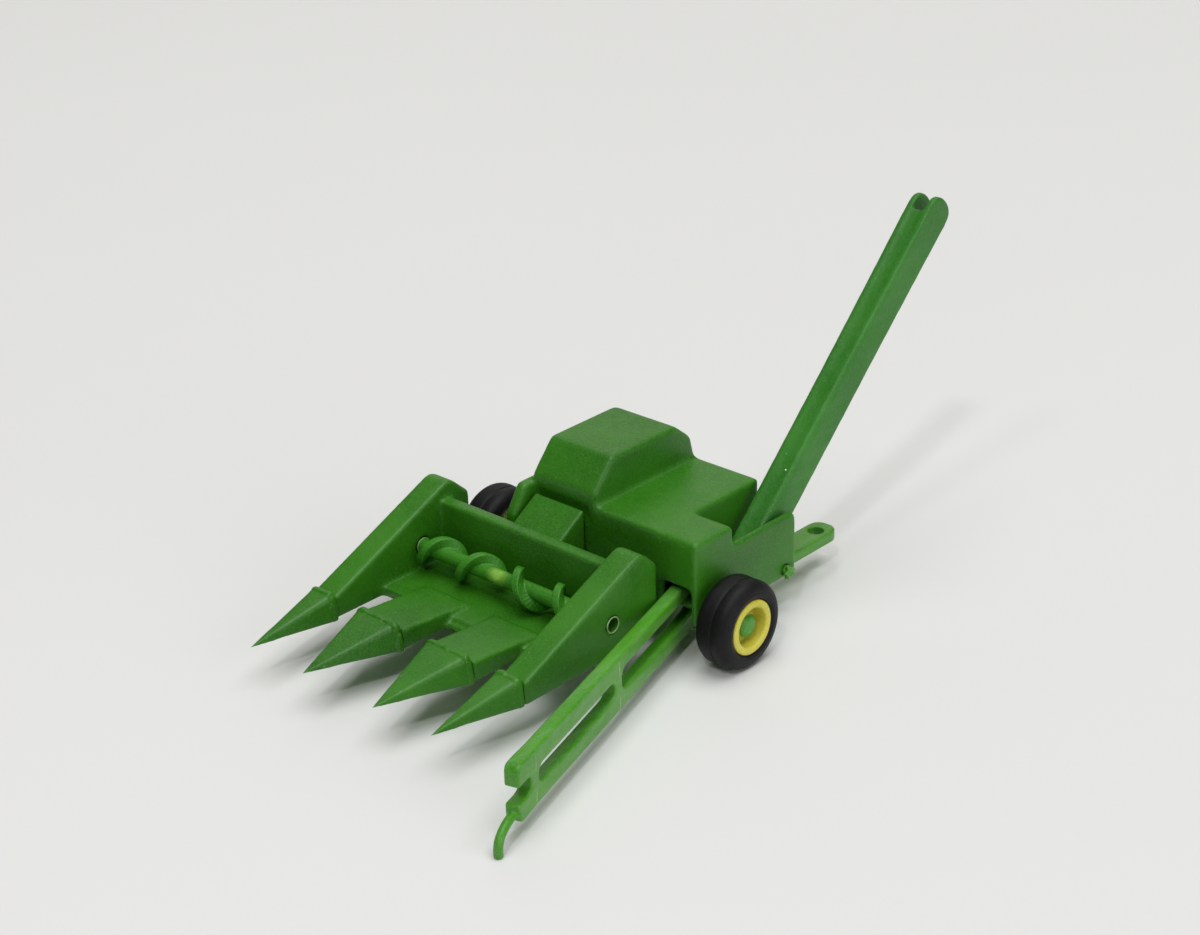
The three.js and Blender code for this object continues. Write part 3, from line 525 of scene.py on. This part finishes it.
# ---------------------------------------------------------------- wheels
def tyre_profile(radius, half, bore):
    """From the bead over the side wall's ridge and round shoulder to the flat tread, both sides."""
    side = [
        (bore, half - 0.42 * MM),
        (bore + 0.18 * MM, half - 0.16 * MM),
        (bore + 0.55 * MM, half - 0.04 * MM),
        (bore + 0.90 * MM, half - 0.02 * MM),
        (bore + 1.02 * MM, half - 0.10 * MM),
    ]
    arc = []
    for i in range(9):
        turn = math.pi / 2 * i / 8
        arc.append((
            radius - TREAD_SHOULDER * (1 - math.sin(turn)),
            half - 0.06 * MM - TREAD_SHOULDER * (1 - math.cos(turn)),
        ))
    outer = side + [(r, a) for r, a in arc if r > bore + 1.05 * MM]
    groove = [
        (radius, 0.62 * MM),
        (radius - 0.16 * MM, 0.52 * MM),
        (radius - 0.20 * MM, 0.30 * MM),
        (radius - 0.05 * MM, 0.16 * MM),
    ]
    return outer + groove + [(r, -a) for r, a in reversed(outer)]


def rim_profile(radius, half):
    """A tube with a flat outer lip and a deep dish on its outer side."""
    lip = radius - RIM_LIP_WIDTH
    floor = half - DISH_DEPTH
    return [
        (RIM_BORE, -half + RIM_BACK),
        (radius, -half + RIM_BACK),
        (radius, half - 0.22 * MM),
        (radius - 0.25 * MM, half - 0.02 * MM),
        (lip + 0.25 * MM, half),
        (lip, half - 0.20 * MM),
        (lip - 0.05 * MM, half - 0.70 * MM),
        (lip - 0.12 * MM, floor + 0.30 * MM),
        (lip - 0.45 * MM, floor),
        (RIM_BORE, floor),
    ]


def add_wheel(side, black, yellow):
    centre, size = middle(f"{side}_tyre")
    rim_radius = middle(f"{side}_rim")[1].z / 2
    out = 1.0 if side == "near" else -1.0
    half = size.x / 2
    tread = rounded(tyre_profile(size.z / 2, half, rim_radius + SEAT_GAP), CORNER, 2)
    tyre = turned(tread, centre.x, centre, 160)
    new_object(f"{side}_tyre_rubber", tyre, black, f"{side}_tyre")
    dish = rounded([(r, out * a) for r, a in rim_profile(rim_radius, half)], CORNER, 3)
    rim = turned(dish, centre.x, centre)
    new_object(f"{side}_rim_disc", rim, yellow, f"{side}_rim")


# ---------------------------------------------------------------- flash and seams
def ragged_ring(radius, tube, seed, segments=72, sides=8):
    """A thin ring of torn flash in the YZ plane, round the X axis, uneven in height and width."""
    drift = random.Random(seed)
    phases = [(drift.uniform(0, 2 * math.pi), drift.uniform(0.2, 1.0) / k) for k in range(2, 9)]
    verts = []
    for i in range(segments):
        turn = 2 * math.pi * i / segments
        wobble = sum(size * math.sin(k * turn + phase) for k, (phase, size) in enumerate(phases, 2))
        thick = tube * (1.0 + 0.28 * wobble)
        for j in range(sides):
            side = 2 * math.pi * j / sides
            reach = radius + thick * math.cos(side) + 0.25 * tube * wobble
            verts.append((thick * math.sin(side), reach * math.cos(turn), reach * math.sin(turn)))
    mesh = bpy.data.meshes.new("ring")
    mesh.from_pydata(verts, [], ring_faces(segments, sides))
    smooth_faces(mesh)
    return mesh


def add_flash_rings(pale):
    """Torn flash where the auger's holes pass through the dividers."""
    low, high = corners("header_shell")
    centre = middle("auger")[0]
    places = {
        "near_outer_flash": high.x - 0.03 * MM,
        "far_inner_flash": low.x + DIVIDER_WIDTH + 0.02 * MM,
        "near_inner_flash": high.x - DIVIDER_WIDTH - 0.02 * MM,
        "far_outer_flash": low.x + 0.03 * MM,
    }
    for seed, (name, x) in enumerate(places.items(), 11):
        mesh = ragged_ring(AUGER_BORE - FLASH_THICKNESS, FLASH_THICKNESS, seed)
        mesh.transform(Matrix.Translation((x, centre.y, centre.z)))
        new_detail(name, mesh, pale, "header")


def seam(foot, ahead, outward, span, phase, drift):
    """A thin upright ridge of uneven width and height, from its foot on the ground up through the span."""
    start, end = span
    verts = []
    for step in range(SEAM_STEPS + 1):
        along = step / SEAM_STEPS
        swell = math.sin(math.pi * along) ** 0.6
        wide = (0.06 + 0.12 * swell) * MM * drift.uniform(0.7, 1.3)
        proud = (0.02 + 0.07 * swell) * MM * drift.uniform(0.6, 1.4)
        sway = 0.10 * MM * math.sin(5.0 * along + phase)
        base = foot + Vector((0.0, 0.0, start + (end - start) * along)) + ahead * sway
        verts.append(base - ahead * wide - outward * SEAM_ROOT)
        verts.append(base + outward * proud)
        verts.append(base + ahead * wide - outward * SEAM_ROOT)
    last = 3 * SEAM_STEPS
    faces = [(0, 2, 1), (last, last + 1, last + 2)]
    for a in range(0, last, 3):
        faces.append((a, a + 1, a + 4, a + 3))
        faces.append((a + 1, a + 2, a + 5, a + 4))
        faces.append((a, a + 3, a + 5, a + 2))
    mesh = bpy.data.meshes.new("seam")
    mesh.from_pydata(verts, [], faces)
    return mesh


def add_seams(pale):
    """Thin upright seams on the outer face of the tongue's two bridges."""
    ahead = Vector((math.sin(TONGUE_ANGLE), -math.cos(TONGUE_ANGLE), 0.0))
    outward = Vector((math.cos(TONGUE_ANGLE), math.sin(TONGUE_ANGLE), 0.0))
    pivot = middle("tongue_screw")[0]
    pivot.z = 0.0
    drift = random.Random(5)
    for i, back in enumerate(BRIDGE_FROM_FORK):
        foot = pivot + ahead * (TONGUE_LENGTH - back) + outward * TONGUE_HALF_THICKNESS
        for k, span in enumerate(SEAM_SPANS):
            mesh = seam(foot, ahead, outward, span, i + 2 * k, drift)
            new_detail(f"tongue_seam_{i}_{k}", mesh, pale, "tongue")


def add_speck(white):
    """A crumb of dust on the elevator's front."""
    work = bmesh.new()
    bmesh.ops.create_icosphere(work, subdivisions=3, radius=SPECK_RADIUS)
    for vert in work.verts:
        vert.co *= 1.0 + 0.35 * noise.noise(vert.co * 9000.0)
    mesh = bpy.data.meshes.new("speck")
    work.to_mesh(mesh)
    work.free()
    smooth_faces(mesh)
    mesh.transform(Matrix.Translation(SPECK_PLACE))
    new_detail("elevator_speck", mesh, white, "elevator")


# ---------------------------------------------------------------- build
def make_materials():
    """One plastic or rubber for each slot, and three more for the auger, the flash and the dust."""
    return {
        "housing_green": moulded_plastic(
            "body_green_plastic", (0.014, 0.110, 0.002), (0.023, 0.162, 0.003), (0.050, 0.236, 0.009)),
        "frame_green": moulded_plastic(
            "bar_green_plastic", (0.026, 0.180, 0.003), (0.044, 0.255, 0.006), (0.092, 0.350, 0.020),
            # The bars get painted sheen streaks.
            gloss=0.34, sheen_streak_strength=0.13),
        "elevator_green": moulded_plastic(
            "elevator_green_plastic", (0.012, 0.125, 0.003), (0.020, 0.172, 0.006), (0.042, 0.240, 0.018),
            # The elevator gets faint painted sheen streaks.
            gloss=0.46, sheen_streak_strength=0.04),
        "rim_yellow": moulded_plastic(
            "rim_yellow_plastic", (0.46, 0.40, 0.012), (0.62, 0.56, 0.035), (0.74, 0.69, 0.12)),
        "tyre_black": rubber("tyre_black_rubber"),
        "auger": moulded_plastic(
            "auger_green_plastic", (0.018, 0.145, 0.003), (0.030, 0.200, 0.006), (0.060, 0.280, 0.018),
            # The auger gets a painted highlight spot.
            painted_highlight_centre=middle("auger")[0] + PAINTED_HIGHLIGHT_FROM_AUGER),
        "flash": moulded_plastic(
            "pale_flash_plastic", (0.10, 0.26, 0.05), (0.22, 0.40, 0.14), (0.42, 0.55, 0.32)),
        "dust": moulded_plastic(
            "dust_white", (0.60, 0.62, 0.58), (0.72, 0.74, 0.70), (0.85, 0.86, 0.82)),
    }


def add_moulding(node, softness, materials):
    cell, rounds = softness
    mesh = softened(node, cell * MM, rounds)
    if node in FINISH:
        FINISH[node](mesh, node)
    material = materials["auger" if node == "auger" else SLOT_OF[node]]
    new_object(f"{node}_moulding", mesh, material, node)


FINISH = {
    "elevator_channel": finish_elevator,
    "tongue_frame": finish_tongue,
    "cross_pin": melt_head,
    **{f"snout_{i}": finish_snout for i in range(1, 5)},
}


def build():
    materials = make_materials()
    for node, softness in SOFTNESS.items():
        add_moulding(node, softness, materials)
    for node in frame["nodes"]:
        if node not in SOFTNESS and not node.endswith(("_tyre", "_rim")):
            add_moulding(node, SMALL_PART_SOFTNESS, materials)
    for side in ("near", "far"):
        add_wheel(side, materials["tyre_black"], materials["rim_yellow"])
    add_flash_rings(materials["flash"])
    add_seams(materials["flash"])
    add_speck(materials["dust"])


def add_floor():
    mesh = bpy.data.meshes.new("floor")
    signs = ((-1, -1), (1, -1), (1, 1), (-1, 1))
    mesh.from_pydata([(x * FLOOR_REACH, y * FLOOR_REACH, 0.0) for x, y in signs], [], [(0, 1, 2, 3)])
    mesh.materials.append(floor_paper("floor_paper"))
    floor = bpy.data.objects.new("floor", mesh)
    bpy.context.scene.collection.objects.link(floor)


add_camera()
add_lights()
add_floor()
build()
